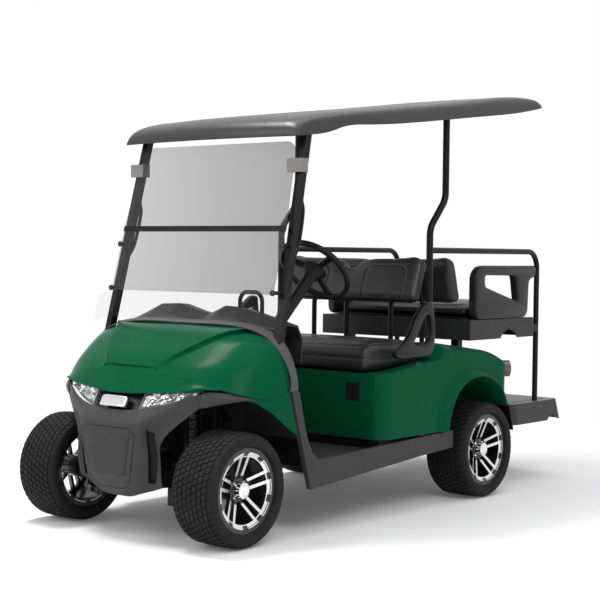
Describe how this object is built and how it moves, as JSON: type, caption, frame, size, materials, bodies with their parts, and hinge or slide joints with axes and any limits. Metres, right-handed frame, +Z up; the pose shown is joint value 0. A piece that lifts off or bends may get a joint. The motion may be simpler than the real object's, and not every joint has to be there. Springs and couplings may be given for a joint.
{
  "type": "golf cart",
  "caption": "Electric golf cart with a forward bench seat, a fold-over rear seat, a roof on struts, a windscreen and alloy wheels.",
  "frame": {"origin": "on the ground under the middle of the cart's bounding box", "axes": "+X forward, +Y to the cart's left, +Z up"},
  "size_m": [2.82, 1.2, 1.9566],
  "materials": {
    "tyre": "matt black rubber",
    "alloy_black": "gloss black alloy with bright machined edges",
    "green_body": "gloss dark green moulding",
    "grey_plastic": "fine-grained dark grey moulding",
    "dash_plastic": "grained mid grey moulding",
    "black_plastic": "black moulding",
    "roof_plastic": "satin black roof moulding",
    "seat_vinyl": "charcoal seat vinyl",
    "floor_rubber": "ribbed black mat",
    "black_steel": "powder-coated black steel",
    "bracket_alloy": "grey bracket",
    "running_gear": "black running gear",
    "tinted_pane": "smoky tinted clear plastic",
    "lamp_lens": "clear lamp lens",
    "tail_lens": "dark grey-red lens"
  },
  "bodies": {
    "chassis": {"frame": "black_steel", "front_posts": "black_steel", "spring_towers": "black_steel", "floor_pan": "black_steel", "floor_mat": "floor_rubber", "battery_pack": "black_plastic", "rockers": "grey_plastic", "front_hood": "green_body", "cowl_sides": "green_body", "front_fascia": "grey_plastic", "lamp_band": "black_plastic", "headlights": "lamp_lens", "cowl_trim": "grey_plastic", "wheel_wells": "black_plastic", "dash": "dash_plastic", "dash_handle": "black_plastic", "steering_column": "black_plastic", "pedals": "black_plastic", "windshield_upper": "tinted_pane", "windshield_lower": "tinted_pane", "windshield_bar": "black_steel", "windshield_clips": "black_plastic", "front_struts": "black_steel", "rear_struts": "black_steel", "roof": "roof_plastic", "roof_brackets": "bracket_alloy", "rear_body": "green_body", "charge_port": "black_plastic", "front_seat_cushion": "seat_vinyl", "front_seat_back": "seat_vinyl", "rear_seat_back": "seat_vinyl", "hip_restraints": "grey_plastic", "seat_frame": "black_steel", "rear_seat_tray": "grey_plastic", "rear_arms": "grey_plastic", "rear_rails": "black_steel", "footplate": "grey_plastic", "taillights": "tail_lens", "mud_flaps": "black_plastic", "rear_axle": "running_gear", "drive_motor": "running_gear", "leaf_springs": "black_steel", "steering_rack": "running_gear", "front_arms": "black_steel", "front_shocks": "running_gear"},
    "knuckle_left": {"knuckle_left": "running_gear"},
    "knuckle_right": {"knuckle_right": "running_gear"},
    "wheel_front_left": {"tyre_front_left": "tyre", "rim_front_left": "alloy_black"},
    "wheel_front_right": {"tyre_front_right": "tyre", "rim_front_right": "alloy_black"},
    "wheel_rear_left": {"tyre_rear_left": "tyre", "rim_rear_left": "alloy_black"},
    "wheel_rear_right": {"tyre_rear_right": "tyre", "rim_rear_right": "alloy_black"},
    "steering_wheel": {"steering_wheel": "black_plastic"},
    "rack": {"tie_rods": "running_gear"},
    "rear_seat": {"rear_seat_board": "black_plastic", "rear_seat_cushion": "seat_vinyl"}
  },
  "joints": [
    {"name": "steer_left", "type": "hinge", "parent": "chassis", "child": "knuckle_left", "pos_m": [1.175, 0.335, 0.2275], "axis": [0, 0, 1], "range_deg": [-30, 30]},
    {"name": "steer_right", "type": "hinge", "parent": "chassis", "child": "knuckle_right", "pos_m": [1.175, -0.335, 0.2275], "axis": [0, 0, 1], "range_deg": [-30, 30]},
    {"name": "wheel_front_left_spin", "type": "hinge", "parent": "knuckle_left", "child": "wheel_front_left", "pos_m": [1.175, 0.451, 0.2275], "axis": [0, 1, 0], "continuous": true},
    {"name": "wheel_front_right_spin", "type": "hinge", "parent": "knuckle_right", "child": "wheel_front_right", "pos_m": [1.175, -0.451, 0.2275], "axis": [0, 1, 0], "continuous": true},
    {"name": "wheel_rear_left_spin", "type": "hinge", "parent": "chassis", "child": "wheel_rear_left", "pos_m": [-0.495, 0.493, 0.2275], "axis": [0, 1, 0], "continuous": true},
    {"name": "wheel_rear_right_spin", "type": "hinge", "parent": "chassis", "child": "wheel_rear_right", "pos_m": [-0.495, -0.493, 0.2275], "axis": [0, 1, 0], "continuous": true},
    {"name": "steering_wheel_turn", "type": "hinge", "parent": "chassis", "child": "steering_wheel", "pos_m": [0.404, 0.25, 1.079], "axis": [-0.7314, 0, 0.682], "range_deg": [-360, 360]},
    {"name": "rack_slide", "type": "slide", "parent": "chassis", "child": "rack", "axis": [0, 1, 0], "range_m": [-0.05, 0.05]},
    {"name": "rear_seat_flip", "type": "hinge", "parent": "chassis", "child": "rear_seat", "pos_m": [-1.15, 0, 0.8363], "axis": [0, -1, 0], "range_deg": [0, 180]}
  ],
  "couplings": [
    {"joint": "steer_right", "follows": "steer_left", "ratio": 1},
    {"joint": "steering_wheel_turn", "follows": "steer_left", "ratio": 12},
    {"joint": "rack_slide", "follows": "steer_left", "m_per_rad": -0.095}
  ]
}
